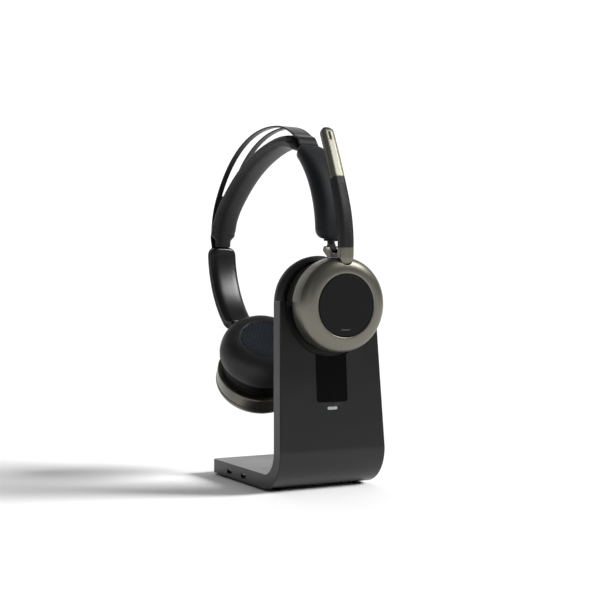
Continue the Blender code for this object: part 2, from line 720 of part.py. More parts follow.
def make_crown_pad():
    rings = []
    for distance in stations(-PAD_END, PAD_END, 22, 15.0):
        body = 1 - smooth(abs(distance), 84.0, 88.5)
        neck_width, neck_thick, neck_lift = 15.0, 6.0, -1.6
        width = neck_width + (PAD_WIDTH - neck_width) * body
        thick = neck_thick + (PAD_THICK - neck_thick) * body
        rings.append(section(distance, oval(width, thick, 16), neck_lift * (1 - body)))
    return loft("crown_pad", rings, ARCH, "pad_soft")


def make_arm(side_name, side):
    outer = loft(side_name + "_arm_outer", arm_shape(side, ARM_THICK / 2 - GAP / 2, GAP / 2),
                 ARCH, "arm_grey")
    inner = loft(side_name + "_arm_inner", arm_shape(side, GAP / 2 - ARM_THICK / 2, -GAP / 2),
                 ARCH, "gloss_black")
    channel = box(side_name + "_slider_channel", (-TONGUE_THICK / 2 - 0.35,
                  -TONGUE_WIDTH / 2 - 0.4, -8), (TONGUE_THICK / 2 + 0.35,
                  TONGUE_WIDTH / 2 + 0.4, TONGUE_IN + 0.6), arm_end_frame(side))
    seat = strip(side_name + "_band_seat", side * (ARM_START - 6), side * (BAND_END + 0.5),
                 BAND_WIDTH + 0.8, BAND_THICK + 0.7, band_lift, None, 12)
    cut(outer, channel, seat)
    cut(inner, channel)
    return [outer, inner]


# ---- microphone boom ----------------------------------------------------------------------
def boom_point(distance):
    """Middle line of the boom in the cup's frame: up along Y, then bent towards the head."""
    y, z, turn, left = BOOM_START, -BOOM_DEPTH, 0.0, distance
    step = min(left, BOOM_STRAIGHT)
    y += step
    left -= step
    for radius, length in ((BOOM_BEND_RADIUS, BOOM_BEND_ARC), (BOOM_CURVE_RADIUS, math.inf)):
        step = min(left, length)
        after = turn + step / radius
        y += radius * (math.sin(after) - math.sin(turn))
        z += radius * (math.cos(after) - math.cos(turn))
        turn = after
        left -= step
    return Vector((0, y, z)), Vector((0, math.sin(turn), math.cos(turn)))


def boom_section(distance, width, thick):
    middle, outward = boom_point(distance)
    return [middle + Vector((across, 0, 0)) + outward * up
            for across, up in oval(width, thick, 16, 0.8)]


def boom_piece(name, start, end, width_start, width_end, round_start, round_end, material):
    rings = []
    for distance in stations(start, end, 5, 6.0):
        t = (distance - start) / (end - start)
        width = width_start + (width_end - width_start) * t
        thick = BOOM_THICK * width / BOOM_WIDTH
        from_start, from_end = distance - start, end - distance
        shrink = 0.0
        if round_start and from_start < round_start:
            shrink = round_start - math.sqrt(round_start ** 2 - (round_start - from_start) ** 2)
        if round_end and from_end < round_end:
            shrink = round_end - math.sqrt(round_end ** 2 - (round_end - from_end) ** 2)
        rings.append(boom_section(distance, width - 1.9 * shrink, thick - 0.9 * shrink))
    return loft(name, rings, NEAR_CUP, material)


def make_boom():
    root = boom_piece("boom_root", 0, ROOT_END, 12.0, 12.0, 6.0, 0, "satin_metal")
    grip = boom_piece("boom_grip", ROOT_END + GAP, GRIP_END, 12.0, 11.4, 0, 0, "grip_rubber")
    tip = boom_piece("boom_tip", GRIP_END + GAP, BOOM_END, 11.4, 10.8, 0, 5.0, "satin_metal")
    middle, outward = boom_point(MIC_PLACE)
    along = Vector((0, outward.z, -outward.y))
    local = axes(middle + outward * BOOM_THICK * 0.45, (1, 0, 0), along, outward)
    mic_frame = NEAR_CUP @ local
    cut(tip, prism("mic_cutter", rounded_rectangle(2.2, MIC_LENGTH + 0.6, 1.05, 4), -1.4, 4,
                   mic_frame))
    mic = prism("boom_mic", rounded_rectangle(1.6, MIC_LENGTH, 0.75, 4), -1.1, -0.35, mic_frame,
                "black_plastic")
    bezel = make_bezel("near", NEAR_CUP)
    notch_outline = ([(-BOOM_WIDTH / 2 - 2 * GAP, 45)]
                     + arc((0, BOOM_START + BOOM_WIDTH / 2), BOOM_WIDTH / 2 + 2 * GAP, 180, 360, 16)
                     + [(BOOM_WIDTH / 2 + 2 * GAP, 45)])
    cut(bezel, prism("bezel_notch", notch_outline, -12, 3, NEAR_CUP))
    return [bezel, root, grip, tip, mic]


# ---- the whole object ---------------------------------------------------------------------
def build():
    adopt(empty("stand_frame", WORLD), make_stand())
    block, pins = make_contacts()
    adopt(empty("contact_frame", contact_frame(0)), pins)
    adopt(bpy.data.objects["stand_frame"], [block])

    near_fixed, near_knuckle, near_slider = make_hanger("near", -1, NEAR_CUP)
    far_fixed, far_knuckle, far_slider = make_hanger("far", 1, FAR_CUP)
    adopt(empty("near_cup_frame", NEAR_CUP),
          make_cup("near", NEAR_CUP) + [make_cup_contacts(NEAR_CUP)] + near_fixed)
    adopt(empty("near_cap_frame", NEAR_CUP), make_near_cap(NEAR_CUP))
    adopt(empty("boom_frame", NEAR_CUP), make_boom())
    for side_name, side, knuckle, slider in (("near", -1, near_knuckle, near_slider),
                                             ("far", 1, far_knuckle, far_slider)):
        hinge = hanger_frame(side) @ Matrix.Translation((0, 0, -HINGE_DROP))
        adopt(empty(side_name + "_tilt_frame", hinge), knuckle)
        adopt(empty(side_name + "_slider_frame", arm_end_frame(side)), slider)
    adopt(empty("arch_frame", ARCH),
          make_arm("near", -1) + make_arm("far", 1) + [make_band(), make_crown_pad()])
    adopt(empty("far_cup_frame", FAR_CUP),
          make_cup("far", FAR_CUP) + [make_bezel("far", FAR_CUP), make_cap("far", FAR_CUP)]
          + far_fixed)


clear_scene()
PARTS = new_collection(NAME)
CUTTERS = new_collection("cutters")
FRAMES = new_collection("frames")
MATERIALS = {name: make_material(name) for name in COLOURS}
build()
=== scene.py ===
"""Looks of the wireless on-ear headset parked in its charging stand.

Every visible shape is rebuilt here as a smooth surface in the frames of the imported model: the
two cups, the hangers, the arch over the head, the boom and the bent stand.  Sizes are in
millimetres, and MM turns them into metres.
"""
import json
import math

import bmesh
import bpy
from mathutils import Matrix, Vector


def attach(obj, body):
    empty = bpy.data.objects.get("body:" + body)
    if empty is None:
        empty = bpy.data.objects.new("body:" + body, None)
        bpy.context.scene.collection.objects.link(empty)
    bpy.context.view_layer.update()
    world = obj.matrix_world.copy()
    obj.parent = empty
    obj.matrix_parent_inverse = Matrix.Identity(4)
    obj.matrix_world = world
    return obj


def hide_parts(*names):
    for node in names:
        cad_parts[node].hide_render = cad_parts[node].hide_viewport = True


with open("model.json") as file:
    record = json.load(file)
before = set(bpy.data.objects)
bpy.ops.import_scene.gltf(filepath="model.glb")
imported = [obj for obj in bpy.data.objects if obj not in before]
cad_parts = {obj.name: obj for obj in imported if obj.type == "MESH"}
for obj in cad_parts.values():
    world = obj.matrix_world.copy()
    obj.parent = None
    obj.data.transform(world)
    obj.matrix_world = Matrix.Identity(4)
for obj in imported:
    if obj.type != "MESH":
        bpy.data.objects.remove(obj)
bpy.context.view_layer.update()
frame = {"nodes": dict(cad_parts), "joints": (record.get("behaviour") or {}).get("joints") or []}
JOINTS = {joint["name"]: joint for joint in frame["joints"]}
NODES = frame["nodes"]

MM = 0.001
GAP = 0.3

# ---- sizes shared with the CAD ------------------------------------------------------------
FOOT_HEIGHT, STAND_WIDTH, STAND_DEPTH, STAND_HEIGHT = 1.5, 93.8, 128.0, 148.0
PLATE, BEND_RADIUS, LEAN, TAPER = 11.6, 30.0, 4.0, 2.0
BASE_CORNER = 5.0
NOTCH_RADIUS, NOTCH_DROP = 36.9, 3.0
PANEL_WIDTH, PANEL_HEIGHT, PANEL_Y = 27.6, 34.4, 55.1
PANEL_RISE = 6.0             # the panel runs on upward into the notch
LIGHT_WIDTH, LIGHT_HEIGHT, LIGHT_Y = 9.4, 2.8, 33.2
SOCKET_Y, SOCKET_Z = (65.5, 92.5), FOOT_HEIGHT + 5.0
CENTRE_Y = 88.0
CUP_RADIUS, CAP_RADIUS = 36.7, 23.9
SHELL_END, NECK_RADIUS, NECK_END = 21.0, 32.4, 38.6
CUSHION_RADIUS, CUSHION_END = 37.2, 59.5
CUP_HEIGHT = 144.5
CROWN_RADIUS, CROWN_ARC = 165.0, 55.0
SHOULDER_RADIUS, SHOULDER_ARC = 56.0, 51.0
SIDE_RADIUS = 89.0
ARM_START, ARM_END, ARM_WIDTH, ARM_THICK = 94.6, 178.5, 26.5, 11.0
PAD_END, PAD_WIDTH, PAD_THICK = 94.2, 23.0, 11.0
BAND_WIDTH, BAND_THICK, BAND_END = 17.5, 1.4, 106.0
BAND_RISE, BAND_SEAT = 14.5, 3.4
SLOT_WIDTH, SLOT_HALF = 7.6, 56.0
HINGE_DROP, CUP_DROP, CUP_SHIFT = 8.6, 15.0, 6.2
MOUNT_DEPTH, FAR_TILT = 18.0, 4.5
FORK_WIDTH, FORK_SLOT, EYE_RADIUS = 12.0, 6.0, 3.0
BOOM_WIDTH, BOOM_THICK, BOOM_DEPTH, BOOM_START = 12.0, 8.0, 4.4, 31.0
BOOM_TIP_WIDTH, RIB_PITCH, RIB_HEIGHT = 10.8, 2.0, 0.34
BOOM_STRAIGHT, BOOM_BEND_RADIUS, BOOM_BEND_ARC, BOOM_CURVE_RADIUS = 10.0, 100.0, 39.0, 500.0
ROOT_END, GRIP_END, BOOM_END = 13.0, 69.0, 114.0
MIC_PLACE, MIC_LENGTH = 105.0, 7.5


# ---- frames -------------------------------------------------------------------------------
def axes(origin, x_axis, y_axis, z_axis):
    made = Matrix.Identity(4)
    for i, column in enumerate((x_axis, y_axis, z_axis)):
        for row, value in enumerate(Vector(column).normalized()):
            made[row][i] = value
    made.translation = Vector(origin)
    return made


def turned_frame(origin, up, out):
    """A frame with Z along out and Y as near to up as it can be."""
    z = Vector(out).normalized()
    y = (Vector(up) - z * z.dot(Vector(up))).normalized()
    return axes(origin, y.cross(z), y, z)


def joint_place(name):
    return Vector(JOINTS[name]["pos_m"]) / MM


def joint_axis(name):
    return Vector(JOINTS[name]["axis"]).normalized()


_lean = math.radians(LEAN)
WORLD = Matrix.Translation((0, -CENTRE_Y, 0))
UPRIGHT = WORLD @ axes((0, 0, FOOT_HEIGHT + BEND_RADIUS), (1, 0, 0),
                       (0, math.sin(_lean), math.cos(_lean)),
                       (0, -math.cos(_lean), math.sin(_lean)))
NOTCH = UPRIGHT @ Matrix.Translation(
    (0, (CUP_HEIGHT - NOTCH_DROP - FOOT_HEIGHT - BEND_RADIUS) / math.cos(_lean), 0))
NEAR_CUP = turned_frame(joint_place("boom_turn"), (0, 0, 1), joint_axis("boom_turn"))


def hanger_frame(side_name):
    """At the end of an arm: Z up the slider, Y along the tilt pin."""
    up = joint_axis(side_name + "_swivel")
    across = joint_axis(side_name + "_tilt")
    return axes(joint_place(side_name + "_swivel"), across.cross(up), across, up)


HANGERS = {name: hanger_frame(name) for name in ("near", "far")}


def far_cup_frame():
    """The far cup hangs tilted on its pin."""
    tilt = math.radians(FAR_TILT)
    out = Vector((math.cos(tilt), 0, -math.sin(tilt)))
    up = Vector((math.sin(tilt), 0, math.cos(tilt)))
    face = Vector((CUP_SHIFT, 0, -CUP_DROP)) - up * CUP_RADIUS + out * MOUNT_DEPTH
    return HANGERS["far"] @ axes(face, up.cross(out), up, out)


CUPS = {"near": NEAR_CUP, "far": far_cup_frame()}


def arch_point(distance):
    """Place and outward normal on the arch, by distance from the crown towards the far cup."""
    side = math.copysign(1.0, distance)
    left = abs(distance)
    x, z, turn = 0.0, 0.0, 0.0
    for radius, length in ((CROWN_RADIUS, CROWN_ARC), (SHOULDER_RADIUS, SHOULDER_ARC),
                           (SIDE_RADIUS, math.inf)):
        step = min(left, length)
        after = turn + step / radius
        x += radius * (math.sin(after) - math.sin(turn))
        z += radius * (math.cos(after) - math.cos(turn))
        turn = after
        left -= step
        if left <= 0:
            break
    return Vector((side * x, 0, z)), Vector((side * math.sin(turn), 0, math.cos(turn)))


def arch_frame():
    """The arch's plane holds both arm ends; its origin is the crown."""
    near, far = joint_place("near_swivel"), joint_place("far_swivel")
    along = (far - near).normalized()
    front = joint_axis("far_extend").cross(along).normalized()
    if front.x > 0:
        front.negate()
    up = along.cross(front).normalized()
    if up.z < 0:
        up.negate()
    middle = (near + far) / 2 - up * arch_point(ARM_END)[0].z
    return axes(middle, along, up.cross(along), up)


ARCH = arch_frame()


# ---- mesh helpers -------------------------------------------------------------------------
def add_piece(name, verts, faces, place, material, body, replaces=(), smooth_angle=32):
    """A mesh piece in the row frame, riding on a body."""
    mesh = bpy.data.meshes.new(name)
    mesh.from_pydata([tuple((place @ Vector(v)) * MM) for v in verts], [], faces)
    mesh.validate()
    builder = bmesh.new()
    builder.from_mesh(mesh)
    bmesh.ops.remove_doubles(builder, verts=builder.verts, dist=0.000002)
    bmesh.ops.recalc_face_normals(builder, faces=builder.faces)
    builder.to_mesh(mesh)
    builder.free()
    mesh.shade_smooth()
    mesh.set_sharp_from_angle(angle=math.radians(smooth_angle))
    mesh.materials.append(material)
    piece = bpy.data.objects.new(name, mesh)
    bpy.context.scene.collection.objects.link(piece)
    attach(piece, body)
    if replaces:
        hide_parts(*replaces)
    return piece


def ring_faces(rings, count, closed_rings=True, first_cap=False, last_cap=False):
    """Faces of a skin over rings of points that are numbered ring after ring."""
    faces = []
    for k in range(rings - 1):
        for i in range(count if closed_rings else count - 1):
            j = (i + 1) % count
            faces.append((k * count + i, k * count + j, (k + 1) * count + j, (k + 1) * count + i))
    if first_cap:
        faces.append(tuple(reversed(range(count))))
    if last_cap:
        faces.append(tuple(range((rings - 1) * count, rings * count)))
    return faces


def turned(name, profile, place, material, body, replaces=(), closed=False, segments=144,
           wobble=None):
    """A turned piece from (radius, height) points; wobble(radius, height, turn) moves them."""
    verts = []
    for i in range(segments):
        turn = 2 * math.pi * i / segments
        for radius, height in profile:
            if wobble:
                radius, height = wobble(radius, height, turn)
            verts.append((radius * math.cos(turn), radius * math.sin(turn), height))
    count = len(profile)
    faces = []
    for i in range(segments):
        j = (i + 1) % segments
        for k in range(count if closed else count - 1):
            m = (k + 1) % count
            faces.append((i * count + k, j * count + k, j * count + m, i * count + m))
    return add_piece(name, verts, faces, place, material, body, replaces)


def loft(name, rings, place, material, body, replaces=(), smooth_angle=32):
    """A closed skin over rings of points, capped at both ends."""
    verts = [point for ring in rings for point in ring]
    faces = ring_faces(len(rings), len(rings[0]), True, True, True)
    return add_piece(name, verts, faces, place, material, body, replaces, smooth_angle)


def prism(name, outline, low, high, place, material, body, replaces=()):
    """An outline raised from low to high along Z."""
    count = len(outline)
    verts = [(x, y, low) for x, y in outline] + [(x, y, high) for x, y in outline]
    return add_piece(name, verts, ring_faces(2, count, True, True, True), place, material, body,
                     replaces)


def arc(centre, radius, start, end, steps):
    turns = [math.radians(start + (end - start) * i / steps) for i in range(steps + 1)]
    return [(centre[0] + radius * math.cos(t), centre[1] + radius * math.sin(t)) for t in turns]


def rounded_rectangle(width, height, radius, steps=8, centre=(0, 0)):
    x, y = width / 2 - radius, height / 2 - radius
    points = []
    for cx, cy, start in ((x, y, 0), (-x, y, 90), (-x, -y, 180), (x, -y, 270)):
        points += arc((centre[0] + cx, centre[1] + cy), radius, start, start + 90, steps)
    return points


def superoval(width, height, count, power):
    """A rounded box outline; a power of 1 gives an ellipse and a smaller one a squarer shape."""
    points = []
    for i in range(count):
        turn = 2 * math.pi * i / count
        c, s = math.cos(turn), math.sin(turn)
        points.append((width / 2 * math.copysign(abs(c) ** power, c),
                       height / 2 * math.copysign(abs(s) ** power, s)))
    return points


def smooth(value, low, high):
    """0 below low, 1 above high, and an even blend between them."""
    t = min(1.0, max(0.0, (value - low) / (high - low)))
    return t * t * (3 - 2 * t)


def apply_all(piece):
    """Bake the piece's modifiers into its mesh."""
    graph = bpy.context.evaluated_depsgraph_get()
    baked = bpy.data.meshes.new_from_object(piece.evaluated_get(graph))
    piece.modifiers.clear()
    piece.data = baked


def levelled(piece, angle=32):
    """Normals that follow the large faces, so that carved flats shade evenly."""
    piece.data.shade_smooth()
    piece.data.set_sharp_from_angle(angle=math.radians(angle))
    even = piece.modifiers.new("normals", "WEIGHTED_NORMAL")
    even.weight = 100
    even.keep_sharp = True
    apply_all(piece)


def bevelled(piece, width, segments=3, angle=35):
    modifier = piece.modifiers.new("rounded_edges", "BEVEL")
    modifier.width = width * MM
    modifier.segments = segments
    modifier.limit_method = "ANGLE"
    modifier.angle_limit = math.radians(angle)
    modifier.harden_normals = True
    apply_all(piece)
    return piece


def carve(piece, *outlines):
    """Cut prisms, each (outline, low, high, place), out of a piece."""
    for outline, low, high, place in outlines:
        count = len(outline)
        verts = [(x, y, z) for z in (low, high) for x, y in outline]
        mesh = bpy.data.meshes.new("carver")
        mesh.from_pydata([tuple((place @ Vector(v)) * MM) for v in verts], [],
                         ring_faces(2, count, True, True, True))
        builder = bmesh.new()
        builder.from_mesh(mesh)
        bmesh.ops.recalc_face_normals(builder, faces=builder.faces)
        builder.to_mesh(mesh)
        builder.free()
        carver = bpy.data.objects.new("carver", mesh)
        bpy.context.scene.collection.objects.link(carver)
        modifier = piece.modifiers.new("carve", "BOOLEAN")
        modifier.operation = "DIFFERENCE"
        modifier.solver = "EXACT"
        modifier.object = carver
        apply_all(piece)
        bpy.data.objects.remove(carver, do_unlink=True)
    return piece


# ---- materials ----------------------------------------------------------------------------
class Look:
    """A small builder for one procedural material."""

    def __init__(self, name, colour, roughness, metallic=0.0, specular=0.5):
        self.material = bpy.data.materials.new(name)
        self.material.use_nodes = True
        self.tree = self.material.node_tree
        self.shader = self.tree.nodes["Principled BSDF"]
        self.shader.inputs["Base Color"].default_value = (*colour, 1)
        self.shader.inputs["Roughness"].default_value = roughness
        self.shader.inputs["Metallic"].default_value = metallic
        self.shader.inputs["Specular IOR Level"].default_value = specular
        self.colour = colour
        self.roughness = roughness
        self.place = self.node("ShaderNodeTexCoord").outputs["Object"]
        self.last_bump = None

    def node(self, kind, **settings):
        made = self.tree.nodes.new(kind)
        for key, value in settings.items():
            setattr(made, key, value)
        return made

    def link(self, source, target):
        self.tree.links.new(source, target)

    def noise(self, scale, detail=3.0, rough=0.55, stretch=None):
        made = self.node("ShaderNodeTexNoise")
        made.inputs["Scale"].default_value = scale
        made.inputs["Detail"].default_value = detail
        made.inputs["Roughness"].default_value = rough
        if stretch:
            mapping = self.node("ShaderNodeMapping")
            mapping.inputs["Scale"].default_value = stretch
            self.link(self.place, mapping.inputs["Vector"])
            self.link(mapping.outputs["Vector"], made.inputs["Vector"])
        else:
            self.link(self.place, made.inputs["Vector"])
        return made.outputs["Fac"]

    def cells(self, scale, feature="F1"):
        made = self.node("ShaderNodeTexVoronoi", feature=feature)
        made.inputs["Scale"].default_value = scale
        self.link(self.place, made.inputs["Vector"])
        return made.outputs["Distance"]

    def spread(self, source, low, high):
        made = self.node("ShaderNodeMapRange")
        made.inputs["From Min"].default_value = 0.3
        made.inputs["From Max"].default_value = 0.7
        made.inputs["To Min"].default_value = low
        made.inputs["To Max"].default_value = high
        self.link(source, made.inputs["Value"])
        return made.outputs["Result"]

    def mottle(self, source, change):
        """Colour that varies by a share of itself."""
        ramp = self.node("ShaderNodeValToRGB")
        ramp.color_ramp.elements[0].position = 0.3
        ramp.color_ramp.elements[1].position = 0.7
        ramp.color_ramp.elements[0].color = (*[c * (1 - change) for c in self.colour], 1)
        ramp.color_ramp.elements[1].color = (*[c * (1 + change) for c in self.colour], 1)
        self.link(source, ramp.inputs["Fac"])
        self.link(ramp.outputs["Color"], self.shader.inputs["Base Color"])
        return self

    def vary_roughness(self, source, change):
        self.link(self.spread(source, self.roughness - change, self.roughness + change),
                  self.shader.inputs["Roughness"])
        return self

    def bump(self, source, height_mm, strength=1.0):
        made = self.node("ShaderNodeBump")
        made.inputs["Strength"].default_value = strength
        made.inputs["Distance"].default_value = height_mm * MM
        self.link(source, made.inputs["Height"])
        if self.last_bump:
            self.link(self.last_bump, made.inputs["Normal"])
        self.last_bump = made.outputs["Normal"]
        self.link(self.last_bump, self.shader.inputs["Normal"])
        return self


def satin_metal():
    look = Look("satin_metal_look", (0.182, 0.176, 0.146), 0.36, 0.92)
    look.mottle(look.noise(900, 2), 0.04)
    look.vary_roughness(look.noise(60, 3), 0.008)
    look.bump(look.noise(2600, 2), 0.003, 0.15)
    return look.material


def stand_plastic():
    look = Look("stand_plastic_look", (0.0075, 0.0075, 0.0075), 0.32, 0.0, 0.45)
    look.mottle(look.noise(1500, 2), 0.12)
    look.vary_roughness(look.noise(45, 3), 0.03)
    look.bump(look.noise(2200, 3), 0.012, 0.3)
    return look.material


def matt_black(name="matt_black_look", tone=0.010, roughness=0.5, specular=0.3):
    look = Look(name, (tone, tone, tone * 1.04), roughness, 0.0, specular)
    look.mottle(look.noise(1300, 2), 0.15)
    look.bump(look.noise(2400, 2), 0.02, 0.4)
    return look.material


def gloss_black(name="gloss_black_look", roughness=0.09, specular=0.3):
    look = Look(name, (0.0018, 0.0018, 0.0019), roughness, 0.0, specular)
    look.vary_roughness(look.noise(80, 4), 0.012)
    look.bump(look.noise(900, 2), 0.002, 0.1)
    return look.material


def arm_grey():
    look = Look("arm_soft_grey_look", (0.0080, 0.0108, 0.0130), 0.58, 0.0, 0.25)
    look.shader.inputs["Sheen Weight"].default_value = 0.06
    look.shader.inputs["Sheen Roughness"].default_value = 0.5
    look.mottle(look.noise(1800, 3), 0.22)
    look.bump(look.cells(1500), 0.04, 0.5)
    return look.material


def pad_soft():
    look = Look("crown_pad_look", (0.0060, 0.0060, 0.0063), 0.44, 0.0, 0.28)
    look.mottle(look.noise(400, 3), 0.03)
    look.vary_roughness(look.noise(50, 3), 0.01)
    look.bump(look.noise(1600, 2), 0.004, 0.15)
    return look.material


def leatherette():
    look = Look("leatherette_look", (0.0125, 0.0125, 0.0132), 0.52, 0.0, 0.45)
    look.mottle(look.noise(300, 4), 0.15)
    look.vary_roughness(look.noise(70, 3), 0.06)
    look.bump(look.cells(900, "F1"), 0.05, 0.45)
    look.bump(look.noise(90, 4), 0.10, 0.2)
    return look.material


def blue_lining():
    look = Look("blue_lining_look", (0.010, 0.042, 0.120), 0.85, 0.0, 0.2)
    look.mottle(look.cells(1600), 0.4)
    look.bump(look.cells(1600), 0.05, 0.5)
    return look.material


def grip_rubber():
    look = Look("grip_rubber_look", (0.0070, 0.0070, 0.0074), 0.50, 0.0, 0.35)
    look.mottle(look.noise(1500, 2), 0.2)
    look.bump(look.noise(2200, 2), 0.02, 0.4)
    return look.material


def spring_steel():
    look = Look("spring_band_look", (0.014, 0.014, 0.0145), 0.36, 0.35, 0.5)
    look.vary_roughness(look.noise(200, 3, stretch=(1, 0.1, 0.1)), 0.05)
    look.bump(look.noise(1500, 2), 0.01, 0.3)
    return look.material


def plain_metal(name, colour, roughness):
    look = Look(name, colour, roughness, 1.0)
    look.vary_roughness(look.noise(400, 3), 0.06)
    look.bump(look.noise(1500, 2), 0.01, 0.3)
    return look.material


def lens():
    look = Look("light_lens_look", (0.50, 0.51, 0.51), 0.35)
    look.mottle(look.noise(700, 2), 0.05)
    look.shader.inputs["Subsurface Weight"].default_value = 0.15
    return look.material


def board():
    look = Look("board_look", (0.010, 0.070, 0.030), 0.5)
    look.mottle(look.cells(500), 0.3)
    return look.material


SATIN = satin_metal()
STAND = stand_plastic()
BLACK = matt_black(tone=0.0055)
# Painted shade: the neck drum's black is set darker and less shiny than the other blacks, for the
# shade in its hollow between the metal band and the cushion.
NECK_BLACK_AND_SHADE = matt_black("neck_black_and_shade_look", 0.0020, 0.55, 0.15)
CAP_BLACK = matt_black("cap_black_look", 0.0050, 0.60, 0.18)
GLOSS = gloss_black()
ARM_GLOSS = gloss_black("arm_gloss_look", 0.30, 0.6)
ARM_GREY = arm_grey()
PAD = pad_soft()
LEATHER = leatherette()
BLUE = blue_lining()
GRIP = grip_rubber()
SPRING = spring_steel()
STEEL = plain_metal("steel_look", (0.42, 0.42, 0.43), 0.3)
GOLD = plain_metal("gold_look", (0.85, 0.60, 0.25), 0.25)
LENS = lens()
BAR = matt_black("cap_bar_look", 0.075, 0.45)
BOARD = board()
FOOT = matt_black("foot_rubber_look", 0.015, 0.85)


def repaint(name, material):
    for place in NODES[name].material_slots:
        place.material = material


# ---- stand --------------------------------------------------------------------------------
def stand_profile():
    """Side view of the bent plate as (y, z), from the top of its front face round the bend."""
    centre = (BEND_RADIUS, FOOT_HEIGHT + BEND_RADIUS)
    outer = arc(centre, BEND_RADIUS, 180 - LEAN, 270, 40)
    inner = arc(centre, BEND_RADIUS - PLATE, 270, 180 - LEAN, 36)
    rise_outer = (STAND_HEIGHT - outer[0][1]) / math.cos(_lean)
    rise_inner = (STAND_HEIGHT - inner[-1][1]) / math.cos(_lean)
    front_top = (outer[0][0] + rise_outer * math.sin(_lean), STAND_HEIGHT)
    back_top = (inner[-1][0] + rise_inner * math.sin(_lean), STAND_HEIGHT)
    return ([front_top] + outer + [(STAND_DEPTH, FOOT_HEIGHT), (STAND_DEPTH, FOOT_HEIGHT + PLATE)]
            + inner + [back_top])


def half_width(height):
    """Half the plate's width; the upright narrows towards its top."""
    rise = max(0.0, height - FOOT_HEIGHT - BEND_RADIUS)
    return STAND_WIDTH / 2 - rise * math.tan(math.radians(TAPER))


def socket_place(y):
    """A frame on the stand's left edge that looks into the stand."""
    return WORLD @ axes((-STAND_WIDTH / 2, y, SOCKET_Z), (0, 1, 0), (0, 0, 1), (1, 0, 0))


def make_stand():
    """Bent plate with its notch, panel, status light, sockets and cradle."""
    profile = stand_profile()
    verts = [(side * half_width(z), y, z) for side in (-1, 1) for y, z in profile]
    body = add_piece("stand_plate", verts, ring_faces(2, len(profile), True, True, True), WORLD,
                     STAND, "stand", ("stand_body",))
    notch = arc((0, 0), NOTCH_RADIUS, 180, 360, 96) + [(NOTCH_RADIUS, 60), (-NOTCH_RADIUS, 60)]
    carve(body, (notch, -PLATE - 8, 8, NOTCH))
    for side, start in ((1, 0), (-1, 90)):
        middle = (side * (STAND_WIDTH / 2 - BASE_CORNER), STAND_DEPTH - BASE_CORNER)
        outline = arc(middle, BASE_CORNER, start, start + 90, 12)
        outline.append((side * (STAND_WIDTH / 2 + 1), STAND_DEPTH + 1))
        carve(body, (outline, -2, 30, WORLD))
    bevelled(body, 0.9, 4, 30)
    panel_middle = (0, PANEL_Y + PANEL_RISE / 2)
    panel = rounded_rectangle(PANEL_WIDTH, PANEL_HEIGHT + PANEL_RISE, 2.2, 8, panel_middle)
    light = rounded_rectangle(LIGHT_WIDTH, LIGHT_HEIGHT, 1.38, 10, (0, LIGHT_Y))
    cuts = [(panel, -1.6, 6, UPRIGHT), (light, -4.0, 6, UPRIGHT)]
    for y in SOCKET_Y:
        cuts.append((rounded_rectangle(9.5, 3.8, 1.85, 10), -2, 10, socket_place(y)))
    carve(body, *cuts)
    levelled(body)

    inlay = prism("panel_glass",
                  rounded_rectangle(PANEL_WIDTH - 0.3, PANEL_HEIGHT + PANEL_RISE - 0.3, 2.05, 8,
                                    panel_middle),
                  -1.3, -0.12, UPRIGHT, GLOSS, "stand", ("front_panel",))
    carve(inlay, (notch, -PLATE - 8, 8, NOTCH))
    bevelled(inlay, 0.12, 2)
    lamp = prism("status_lens",
                 rounded_rectangle(LIGHT_WIDTH - 0.4, LIGHT_HEIGHT - 0.4, 1.18, 12, (0, LIGHT_Y)),
                 -3.6, 0.0, UPRIGHT, LENS, "stand", ("status_light",))
    bevelled(lamp, 0.3, 3)
    for n, y in enumerate(SOCKET_Y):
        make_socket(n + 1, socket_place(y))
    repaint("contact_block", BLACK)
    repaint("base_cover", STAND)
    repaint("ballast", STEEL)
    repaint("stand_board", BOARD)
    for n in range(1, 5):
        repaint("foot_%d" % n, FOOT)
        repaint("contact_pin_%d" % n, GOLD)
    make_liner()


def make_socket(number, place):
    """A pressed shell with a rolled mouth and a contact tongue inside it."""
    outer = rounded_rectangle(8.9, 3.2, 1.5, 10)
    inner = rounded_rectangle(8.1, 2.4, 1.15, 10)
    count = len(outer)
    layers = [(outer, 7.2), (outer, 0.55), (inner, 0.35), (inner, 6.6)]
    verts = [(x, y, z) for outline, z in layers for x, y in outline]
    shell = add_piece("socket_shell_%d" % number, verts, ring_faces(4, count, True, True, True),
                      place, STEEL, "stand", ("usb_socket_%d" % number,))
    tongue = prism("socket_tongue_%d" % number, rounded_rectangle(6.4, 0.75, 0.3, 4), 1.3, 6.6,
                   place, BLACK, "stand")
    bevelled(tongue, 0.15, 2)
    return shell


def make_liner():
    """Cradle that holds the near cup's neck, with a pocket for the charging contacts."""
    outer_radius = NOTCH_RADIUS - 0.05
    lip = NOTCH_DROP - 0.6
    outline = [(-outer_radius, lip)] + arc((0, 0), outer_radius, 180, 360, 96)
    outline.append((outer_radius, lip))
    liner = prism("cradle_pad", outline, -PLATE + 1.5, -0.5, NOTCH, BLACK, "stand",
                  ("cradle_liner",))
    bed = arc((0, 0), NECK_RADIUS + GAP, 0, 357.5, 143)
    carve(liner, (bed, -50, -15, NEAR_CUP))
    pocket = [(-6.6, -NECK_RADIUS - 8.2), (6.6, -NECK_RADIUS - 8.2), (6.6, -NECK_RADIUS + 3),
              (-6.6, -NECK_RADIUS + 3)]
    carve(liner, (pocket, -31.9, -25.5, NEAR_CUP))
    bevelled(liner, 0.35, 2)


# ---- ear cups -----------------------------------------------------------------------------
def quarter(start, end, steps, power=1.0):
    """Points of a quarter ellipse from start, leaving it level, to end, arriving upright."""
    (r0, z0), (r1, z1) = start, end
    points = []
    for i in range(1, steps + 1):
        t = math.pi / 2 * i / steps
        points.append((r0 + (r1 - r0) * math.sin(t) ** power, z0 + (z1 - z0) * (1 - math.cos(t))))
    return points


